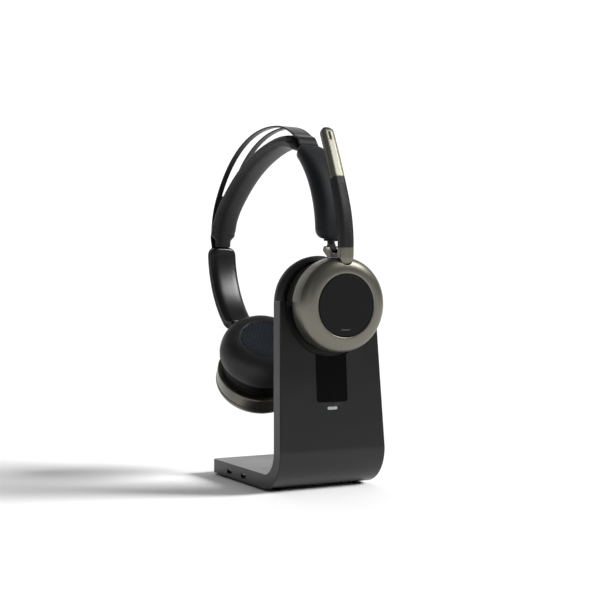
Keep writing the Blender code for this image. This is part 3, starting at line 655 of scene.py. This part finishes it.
def make_bezel(side, place, body):
    """Metal ring that domes from the disc's rim out to the cup's edge."""
    inner = CAP_RADIUS + 0.35
    dome = quarter((inner + 1.2, -0.02), (CUP_RADIUS, -8.0), 40)
    profile = ([(inner, -2.6), (inner, -1.0), (inner + 0.12, -0.55), (inner + 0.45, -0.2),
                (inner + 0.9, -0.05), (inner + 1.2, -0.02)] + dome
               + [(CUP_RADIUS, -8.6), (CUP_RADIUS - 0.12, -8.9), (CUP_RADIUS - 0.4, -9.0),
                  (34.3, -9.0), (33.6, -7.0), (30.5, -4.4)])
    bezel = turned(side + "_bezel_ring", profile, place, SATIN, body,
                   (side + "_bezel",), closed=True, segments=180)
    return bezel


def make_cap(side, place, body):
    """Flat disc in the middle of the cup, with a softly rounded rim."""
    rim = CAP_RADIUS
    profile = [(0, -0.42), (8.0, -0.42), (rim - 1.6, -0.40), (rim - 0.9, -0.42),
               (rim - 0.4, -0.52), (rim - 0.12, -0.75), (rim, -1.1), (rim, -2.4), (0, -2.4)]
    cap = turned(side + "_cap_disc", profile, place, CAP_BLACK, body,
                 (side + "_cap",))
    return cap


def make_shell(side, place, body):
    """Metal band behind the bezel, with a sound slot a little ahead of the hanger; the slot is
    not cut but drawn as a black inlay, painted shade of its opening.
    """
    profile = [(34.6, -9.4), (36.0, -9.4), (36.28, -9.46), (36.42, -9.7), (36.45, -10.2),
               (36.40, -19.4), (36.32, -20.1), (36.05, -20.6), (35.6, -20.9), (35.0, -SHELL_END),
               (30.0, -SHELL_END), (30.0, -19.4), (34.6, -19.4)]
    turned(side + "_shell_band", profile, place, SATIN, body, (side + "_shell",),
           closed=True, segments=180)
    lie = math.radians(90 + 24)
    out = Vector((math.cos(lie), math.sin(lie), 0))
    across = Vector((-math.sin(lie), math.cos(lie), 0))
    slot_place = place @ axes(out * 36.1 + Vector((0, 0, -12.2)), across, (0, 0, 1), -out)
    # Painted shade: the sound slot is not cut; a flush black inlay on the band stands for its
    # shaded opening.
    prism(side + "_sound_slot", rounded_rectangle(4.8, 2.0, 0.95, 8), -0.40, 0.5,
          slot_place, BLACK, body)


def make_neck(side, place, body):
    """Black drum between the metal band and the cushion, with two shallow grooves; its material
    is darker than its own black as painted shade of that hollow.
    """
    radius, start, end = NECK_RADIUS, -SHELL_END - GAP, -NECK_END
    profile = [(29.0, start), (radius - 0.3, start), (radius, start - 0.3)]
    for groove in (start - 4.0, start - 11.5):
        profile += [(radius, groove), (radius - 0.35, groove - 0.25),
                    (radius - 0.35, groove - 0.7), (radius, groove - 0.95)]
    profile += [(radius, end + 0.4), (radius - 0.3, end), (29.0, end)]
    # Painted shade: the drum's material is darker than its own black, for the shade between the
    # band and the cushion.
    turned(side + "_neck_drum", profile, place, NECK_BLACK_AND_SHADE, body,
           (side + "_neck",), closed=True)
    seat = -NECK_END - 0.4
    rim = [(17.0, seat), (33.6, seat), (34.1, seat - 0.25), (34.3, seat - 0.7),
           (34.1, seat - 1.15), (33.6, seat - 1.4), (17.0, seat - 1.4)]
    turned(side + "_baffle_plate", rim, place, GLOSS, body,
           (side + "_baffle",), closed=True)


def soft_noise(x, y, z):
    """A smooth repeatable ripple, for the small unevenness of a stuffed cover."""
    return (math.sin(x * 1.7 + 0.3) * math.cos(y * 2.1 - 0.7) + math.sin(z * 2.3 + x * 0.9)
            + math.cos(y * 1.3 + z * 1.9)) / 3


def make_cushion(side, place, body):
    """Donut cover with a welt at its base, a seam round its inner edge and soft puckers.

    The far cushion has a skirt that reaches over its neck; the near one stops at the plate.
    """
    seat, top = -NECK_END - 2.2, -CUSHION_END
    if side == "near":
        base, edge, middle = seat, 34.9, seat - 6.0
        outer = [(33.0, seat)]
    else:
        base, edge, middle = seat + 4.4, 36.6, seat - 0.2
        outer = [(edge - 1.4, seat), (edge - 1.4, base - 0.3), (edge - 1.0, base)]
    outer += [(edge - 0.3, base - 0.1), (edge + 0.1, base - 0.5), (edge - 0.1, base - 0.95),
              (edge, base - 1.25)]
    crown_radius, crown_depth = 23.2, top + 0.05
    rim_radius, rim_drop = 21.0, 0.9
    swell = []
    for i in range(1, 37):
        t = math.pi / 2 * i / 36
        swell.append((crown_radius + (CUSHION_RADIUS - crown_radius) * math.cos(t) ** 0.86,
                      middle + (crown_depth - middle) * math.sin(t) ** 0.92))
    flank = []
    for i in range(1, 13):
        t = i / 13
        flank.append((edge + (CUSHION_RADIUS - edge) * math.sin(math.pi / 2 * t) ** 0.8,
                      base - 1.25 + (middle - base + 1.25) * t))
    inner = []
    for i in range(1, 19):
        t = math.pi / 2 * i / 18
        inner.append((crown_radius - (crown_radius - rim_radius) * math.sin(t),
                      crown_depth + rim_drop * (1 - math.cos(t))))
    profile = outer + flank + swell + inner + [(20.8, top + 4.6), (20.0, seat)]

    def pucker(radius, height, turn):
        x, y = radius * math.cos(turn), radius * math.sin(turn)
        swollen = smooth(-height, -seat + 1.5, -seat + 6.0) * smooth(radius, 22.5, 26.0)
        lift = 0.28 * soft_noise(x / 6.0, y / 6.0, height / 6.0) * swollen
        gathers = 0.10 * math.sin(turn * 54) * smooth(radius, 33.5, 36.0)
        near_welt = 1 - smooth(-height, -base + 1.2, -base + 5.0)
        return radius + lift * 0.6 + gathers * near_welt - 0.2, height - lift * 0.5

    cushion = turned(side + "_ear_cushion", profile, place, LEATHER, body,
                     (side + "_cushion",), closed=True, segments=216, wobble=pucker)
    make_lining(side, place, body, top)


def make_lining(side, place, body, top):
    """Perforated centre: a leatherette sheet with real holes over a blue mesh."""
    pitch, hole, reach = 3.2, 0.86, 21.2
    hexagon = pitch / math.sqrt(3)

    def height(x, y):
        return top + 0.5 + 0.4 * math.cos(math.pi * min(1.0, math.hypot(x, y) / reach))

    verts, faces = [], []
    sides = 12
    sink = (0.0, 0.12, 0.55)
    rows = int(reach / (pitch * 0.866)) + 1
    for row in range(-rows, rows + 1):
        for column in range(-rows - 2, rows + 3):
            cx = (column + 0.5 * (row % 2)) * pitch
            cy = row * pitch * math.sqrt(3) / 2
            if math.hypot(cx, cy) > reach - 0.4:
                continue
            start = len(verts)
            for ring in range(3):
                for i in range(sides):
                    turn = 2 * math.pi * i / sides + math.pi / 6
                    radius = hole
                    if ring == 0:
                        radius = hexagon if i % 2 == 0 else hexagon * math.cos(math.pi / 6)
                    x, y = cx + radius * math.cos(turn), cy + radius * math.sin(turn)
                    verts.append((x, y, height(x, y) + sink[ring]))
            for k in (0, 1):
                for i in range(sides):
                    j = (i + 1) % sides
                    faces.append((start + k * sides + i, start + k * sides + j,
                                  start + (k + 1) * sides + j, start + (k + 1) * sides + i))
    sheet = add_piece(side + "_perforated_cover", verts, faces, place, LEATHER, body,
                      (), 50)
    reach = 20.4
    profile = [(reach * i / 12, height(reach * i / 12, 0) + 0.5) for i in range(13)]
    profile += [(reach, top + 5.5), (0, top + 5.5)]
    lining = turned(side + "_blue_lining", profile, place, BLUE, body,
                    (side + "_ear_fabric",), segments=64)
    return lining


def make_cups():
    for side in ("near", "far"):
        place, body = CUPS[side], side + "_cup"
        bezel_body = "boom" if side == "near" else "far_cup"
        cap_body = "near_cap" if side == "near" else "far_cup"
        bezel = make_bezel(side, place, bezel_body)
        cap = make_cap(side, place, cap_body)
        if side == "near":
            reach = BOOM_START + BOOM_WIDTH / 2
            notch = ([(-BOOM_WIDTH / 2 - 0.35, 45)]
                     + arc((0, reach), BOOM_WIDTH / 2 + 0.35, 180, 360, 32)
                     + [(BOOM_WIDTH / 2 + 0.35, 45)])
            carve(bezel, (notch, -12, 3, place))
            bezel.data.shade_smooth()
            bezel.data.set_sharp_from_angle(angle=math.radians(30))
            carve(cap, (rounded_rectangle(8.8, 1.5, 0.72, 8, (0, -18.7)), -1.3, 1.0, place))
            cap.data.shade_smooth()
            cap.data.set_sharp_from_angle(angle=math.radians(30))
            bar = prism("near_cap_bar", rounded_rectangle(8.3, 1.0, 0.48, 8, (0, -18.7)), -1.2,
                        -0.42, place, BAR, "near_cap", ("near_cap_light",))
            bevelled(bar, 0.12, 2)
        make_shell(side, place, body)
        make_neck(side, place, body)
        make_cushion(side, place, body)
        make_hanger(side, body)
        for node, material in (("board", BOARD), ("battery", STEEL), ("magnet", STEEL),
                               ("driver", BLACK), ("pin", STEEL), ("knuckle", BLACK),
                               ("slider", BLACK)):
            repaint(side + "_" + node, material)
    repaint("near_contacts", GOLD)


def make_hanger(side, body):
    """Forked yoke on top of the cup that holds the tilt pin."""
    place = HANGERS[side]
    flat = place @ Matrix(((1, 0, 0, 0), (0, 0, -1, 0), (0, 1, 0, 0), (0, 0, 0, 1)))
    eye = (0.0, -HINGE_DROP)
    foot = -CUP_DROP - 0.2
    outline = ([(CUP_SHIFT + 3.3, foot)] + arc(eye, EYE_RADIUS, 8, 192, 28)
               + [(CUP_SHIFT - 2.6, foot)])
    fork = prism(side + "_fork_yoke", outline, -FORK_WIDTH / 2, FORK_WIDTH / 2, flat, SATIN, body,
                 (side + "_fork",))
    gap = [(-12, -FORK_SLOT / 2), (12, -FORK_SLOT / 2), (12, FORK_SLOT / 2),
           (-12, FORK_SLOT / 2)]
    carve(fork, (gap, -CUP_DROP + 2.6, 6, place),
          (arc((0, 0), CUP_RADIUS - 0.2, 0, 357, 119), -26, -6, CUPS[side]))
    bevelled(fork, 0.45, 3)


# ---- arch over the head -------------------------------------------------------------------
def section(distance, points, lift=0.0):
    """Points (across, up) of a cross-section placed along the arch."""
    middle, normal = arch_point(distance)
    return [middle + Vector((0, across, 0)) + normal * (up + lift) for across, up in points]


def spaced(start, end, fine, steps, fine_steps=10):
    """Distances that crowd together towards both ends, for rounded corners."""
    lead = [fine * (1 - math.cos(math.pi / 2 * i / fine_steps)) for i in range(fine_steps)]
    inner = [start + fine + (end - start - 2 * fine) * i / steps for i in range(steps + 1)]
    return [start + d for d in lead] + inner + [end - d for d in reversed(lead)]


def corner(distance, start, end, radius):
    """How far a round corner draws the edge in, close to either end."""
    nearest = max(0.0, min(distance - start, end - distance))
    if nearest >= radius:
        return 0.0
    return radius - math.sqrt(max(0.0, radius ** 2 - (radius - nearest) ** 2))


def half_section(width, rise, floor, count=28):
    """A flat-topped D section; rise may be negative."""
    points = []
    for i in range(count + 1):
        turn = math.pi * i / count
        c, s = math.cos(turn), math.sin(turn)
        points.append((width / 2 * math.copysign(abs(c) ** 0.42, c),
                       floor + rise * abs(s) ** 0.62))
    return points


def make_arm(side_name, side):
    """Two half shells with rounded ends that meet in a fine seam."""
    for part, direction, material, slot in (("outer", 1, ARM_GREY, "arm_grey"),
                                            ("inner", -1, ARM_GLOSS, "gloss_black")):
        rings = []
        for distance in spaced(ARM_START, ARM_END, 8.0, 48, 12):
            narrow = corner(distance, ARM_START, ARM_END, 8.0)
            thin = corner(distance, ARM_START, ARM_END, 4.0)
            rise = direction * (ARM_THICK / 2 - 0.08 - 0.8 * thin)
            width = ARM_WIDTH - 0.5 * (direction < 0) - 1.75 * narrow
            rings.append(section(side * distance, half_section(width, rise, direction * 0.08)))
        loft("%s_arm_%s_shell" % (side_name, part), rings, ARCH, material, "arch",
             ("%s_arm_%s" % (side_name, part),), 40)


def band_lift(distance):
    """Height of the spring band over the middle of the arch."""
    away = abs(distance)
    over_pad = PAD_THICK / 2 + BAND_THICK / 2 + 0.8
    crown = BAND_RISE * math.cos(math.pi / 2 * min(1.0, away / 82.0))
    return over_pad + crown - (over_pad - BAND_SEAT) * smooth(away, 86.0, 95.5)


def make_band():
    """Two spring strips that part over the crown and join again before each arm."""
    columns = [-BAND_WIDTH / 2, -BAND_WIDTH / 2 + 2.4, -SLOT_WIDTH / 2, -SLOT_WIDTH / 4, 0,
               SLOT_WIDTH / 4, SLOT_WIDTH / 2, BAND_WIDTH / 2 - 2.4, BAND_WIDTH / 2]
    distances = []
    for i in range(241):
        distances.append(-BAND_END + 2 * BAND_END * i / 240)
    verts, faces = [], []
    count = len(columns)
    for distance in distances:
        verts += section(distance, [(across, 0) for across in columns], band_lift(distance))
    for k in range(len(distances) - 1):
        for i in range(count - 1):
            inside = 2 <= i < 6
            reach = SLOT_HALF - (1.6 if i in (2, 5) else 0.0)
            open_here = max(abs(distances[k]), abs(distances[k + 1])) < reach
            if inside and open_here:
                continue
            faces.append((k * count + i, k * count + i + 1, (k + 1) * count + i + 1,
                          (k + 1) * count + i))
    band = add_piece("spring_strips", verts, faces, ARCH, SPRING, "arch",
                     ("spring_band",), 50)
    solid = band.modifiers.new("thickness", "SOLIDIFY")
    solid.thickness = BAND_THICK * MM
    solid.offset = 0
    apply_all(band)
    bevelled(band, 0.4, 3, 50)


def make_crown_pad():
    """Soft pad under the band: an even roll that is pinched before it enters the arms."""
    rings = []
    for distance in spaced(-PAD_END, PAD_END, 8.0, 150, 6):
        away = abs(distance)
        body = 1 - smooth(away, 83.5, 88.5)
        swell = 1 + 0.035 * math.exp(-((away - 78.0) / 5.0) ** 2)
        width = 15.0 + (PAD_WIDTH * swell - 15.0) * body
        thick = 6.4 + (PAD_THICK - 6.4) * body
        points = []
        for across, up in superoval(width, thick, 64, 0.90):
            seam = math.exp(-((up + thick * 0.12) / 0.35) ** 2) * body
            shrink = 0.28 * seam / max(1.0, abs(across))
            crease = 0.0
            if up < 0:
                crease = 0.45 * math.exp(-((away - 81.0) / 1.6) ** 2)
            points.append((across * (1 - shrink), up + crease))
        ripple = 0.06 * math.sin(distance * 0.11 + 1.0)
        rings.append(section(distance, points, -1.6 * (1 - body) + ripple * body))
    pad = loft("crown_cushion", rings, ARCH, PAD, "arch", ("crown_pad",), 60)


# ---- microphone boom ----------------------------------------------------------------------
def boom_point(distance):
    """Place and outward normal on the boom, by distance from its root."""
    y, z, turn, left = BOOM_START, -BOOM_DEPTH, 0.0, distance
    step = min(left, BOOM_STRAIGHT)
    y += step
    left -= step
    for radius, length in ((BOOM_BEND_RADIUS, BOOM_BEND_ARC), (BOOM_CURVE_RADIUS, math.inf)):
        step = min(left, length)
        after = turn + step / radius
        y += radius * (math.sin(after) - math.sin(turn))
        z += radius * (math.cos(after) - math.cos(turn))
        turn = after
        left -= step
    return Vector((0, y, z)), Vector((0, math.sin(turn), math.cos(turn)))


def boom_outline(width, thick):
    """Section of the boom: a flat outer face with broad chamfers, and a rounded back."""
    points = []
    for across, up in superoval(width, thick, 48, 0.62):
        if up > 0:
            limit = thick / 2 * (1 - 0.24 * max(0.0, abs(across) / (width / 2) - 0.50) / 0.5)
            up = min(up * 1.25, limit)
        points.append((across, up))
    return points


def boom_width(distance):
    return BOOM_WIDTH + (BOOM_TIP_WIDTH - BOOM_WIDTH) * smooth(distance, ROOT_END, BOOM_END)


def rib(across, distance, width, start, end):
    """Height of the grip's fine chevron ribs on its outer face."""
    inside = 1 - smooth(abs(across), width * 0.33, width * 0.37)
    ends = smooth(min(distance - start, end - distance), 1.2, 1.8)
    wave = 0.5 + 0.5 * math.cos(2 * math.pi * (distance + 0.55 * abs(across)) / RIB_PITCH)
    return RIB_HEIGHT * wave * inside * ends


def boom_piece(name, node, start, end, round_start, round_end, material, ribbed=False):
    """One length of the boom, with round corners where it starts or ends."""
    rings = []
    steps = int((end - start) / 0.25) if ribbed else max(12, int((end - start) / 1.2))
    for distance in spaced(start, end, min(6.0, (end - start) / 3), steps, 10):
        width = boom_width(distance)
        thick = BOOM_THICK * width / BOOM_WIDTH
        from_start, from_end = distance - start, end - distance
        shrink = 0.0
        if round_start and from_start < round_start:
            shrink = round_start - math.sqrt(round_start ** 2 - (round_start - from_start) ** 2)
        if round_end and from_end < round_end:
            shrink = round_end - math.sqrt(round_end ** 2 - (round_end - from_end) ** 2)
        shrink += 0.18 * (1 - smooth(min(from_start, from_end), 0.0, 0.35))
        middle, outward = boom_point(distance)
        outline = boom_outline(max(0.4, width - 1.9 * shrink), thick - 0.9 * shrink)
        if ribbed:
            outline = [(x, up + rib(x, distance, width, start, end) if up > 0 else up)
                       for x, up in outline]
        rings.append([middle + Vector((x, 0, 0)) + outward * up for x, up in outline])
    return loft(name, rings, NEAR_CUP, material, "boom", (node,), 34)


def make_boom():
    """Metal root, ribbed rubber grip and metal tip with the microphone's opening."""
    boom_piece("boom_root_shell", "boom_root", 0, ROOT_END, 6.0, 0, SATIN)
    boom_piece("boom_grip_sleeve", "boom_grip", ROOT_END + 0.1, GRIP_END, 0, 0, GRIP,
               ribbed=True)
    tip = boom_piece("boom_tip_shell", "boom_tip", GRIP_END + 0.1, BOOM_END, 0, 5.0, SATIN)
    middle, outward = boom_point(MIC_PLACE)
    along = Vector((0, outward.z, -outward.y))
    mic = NEAR_CUP @ axes(middle + outward * BOOM_THICK * 0.45, (1, 0, 0), along, outward)
    carve(tip, (rounded_rectangle(2.2, MIC_LENGTH + 0.4, 1.08, 10), -1.2, 4, mic))
    tip.data.shade_smooth()
    tip.data.set_sharp_from_angle(angle=math.radians(34))
    repaint("boom_mic", BLACK)


make_stand()
make_cups()
make_arm("near", -1)
make_arm("far", 1)
make_band()
make_crown_pad()
make_boom()


# ---- floor, light and camera --------------------------------------------------------------
VIEW_TURN = math.radians(28.1)
ROOM_LEVEL, PAPER_LEVEL = 0.13, 1.15
KEY_TOWARD = (0.88, -0.47, 0.50)


def make_floor():
    """A wide white floor."""
    mesh = bpy.data.meshes.new("floor")
    reach = 60.0
    mesh.from_pydata([(-reach, -reach, 0), (reach, -reach, 0), (reach, reach, 0),
                      (-reach, reach, 0)], [], [(0, 1, 2, 3)])
    floor = bpy.data.objects.new("floor", mesh)
    bpy.context.scene.collection.objects.link(floor)
    look = Look("floor_look", (0.93, 0.93, 0.93), 0.9, 0.0, 0.1)
    look.mottle(look.noise(3, 2), 0.004)
    mesh.materials.append(look.material)
    return floor


def sun(name, toward, strength, softness, receivers):
    """A soft distant lamp that lights only the given pieces."""
    data = bpy.data.lights.new(name, "SUN")
    data.energy = strength
    data.angle = math.radians(softness)
    light = bpy.data.objects.new(name, data)
    bpy.context.scene.collection.objects.link(light)
    light.rotation_euler = Vector(toward).to_track_quat("Z", "Y").to_euler()
    lit = bpy.data.collections.new(name + "_receivers")
    for piece in receivers:
        lit.objects.link(piece)
    light.light_linking.receiver_collection = lit


def make_world():
    """White paper all round, which lights the object from behind it only."""
    world = bpy.data.worlds.new("studio")
    world.use_nodes = True
    tree = world.node_tree
    background = tree.nodes["Background"]
    place = tree.nodes.new("ShaderNodeTexCoord")
    facing = tree.nodes.new("ShaderNodeVectorMath")
    facing.operation = "DOT_PRODUCT"
    facing.inputs[1].default_value = (math.sin(VIEW_TURN), math.cos(VIEW_TURN), 0)
    tree.links.new(place.outputs["Generated"], facing.inputs[0])
    level = tree.nodes.new("ShaderNodeMapRange")
    level.interpolation_type = "SMOOTHSTEP"
    for socket, value in (("From Min", 0.35), ("From Max", 0.88), ("To Min", ROOM_LEVEL),
                          ("To Max", PAPER_LEVEL)):
        level.inputs[socket].default_value = value
    tree.links.new(facing.outputs["Value"], level.inputs["Value"])
    path = tree.nodes.new("ShaderNodeLightPath")
    seen = tree.nodes.new("ShaderNodeMath")
    seen.operation = "MULTIPLY"
    seen.inputs[1].default_value = PAPER_LEVEL
    tree.links.new(path.outputs["Is Camera Ray"], seen.inputs[0])
    brighter = tree.nodes.new("ShaderNodeMath")
    brighter.operation = "MAXIMUM"
    tree.links.new(seen.outputs["Value"], brighter.inputs[0])
    tree.links.new(level.outputs["Result"], brighter.inputs[1])
    tree.links.new(brighter.outputs["Value"], background.inputs["Strength"])
    background.inputs["Color"].default_value = (1, 1, 1, 1)
    bpy.context.scene.world = world


def make_camera():
    data = bpy.data.cameras.new("camera")
    data.lens = 67.5
    data.sensor_width = 36.0
    camera = bpy.data.objects.new("camera", data)
    bpy.context.scene.collection.objects.link(camera)
    camera.location = (-0.4344, -0.8455, 0.1487)
    camera.rotation_euler = (math.radians(90), 0, -VIEW_TURN)
    bpy.context.scene.camera = camera


stage = make_floor()
make_world()
pieces = [thing for thing in bpy.data.objects if thing.type == "MESH" and thing != stage]
sun("floor_key", KEY_TOWARD, 5.6, 22, [stage])
sun("floor_top", (0, 0, 1), 0.36, 60, [stage])
sun("key", (0.62, -0.42, 0.62), 1.8, 24, pieces)
sun("fill", (-0.56, -0.78, 0.20), 0.05, 14, pieces)
make_camera()
bpy.context.scene.view_settings.view_transform = "Standard"
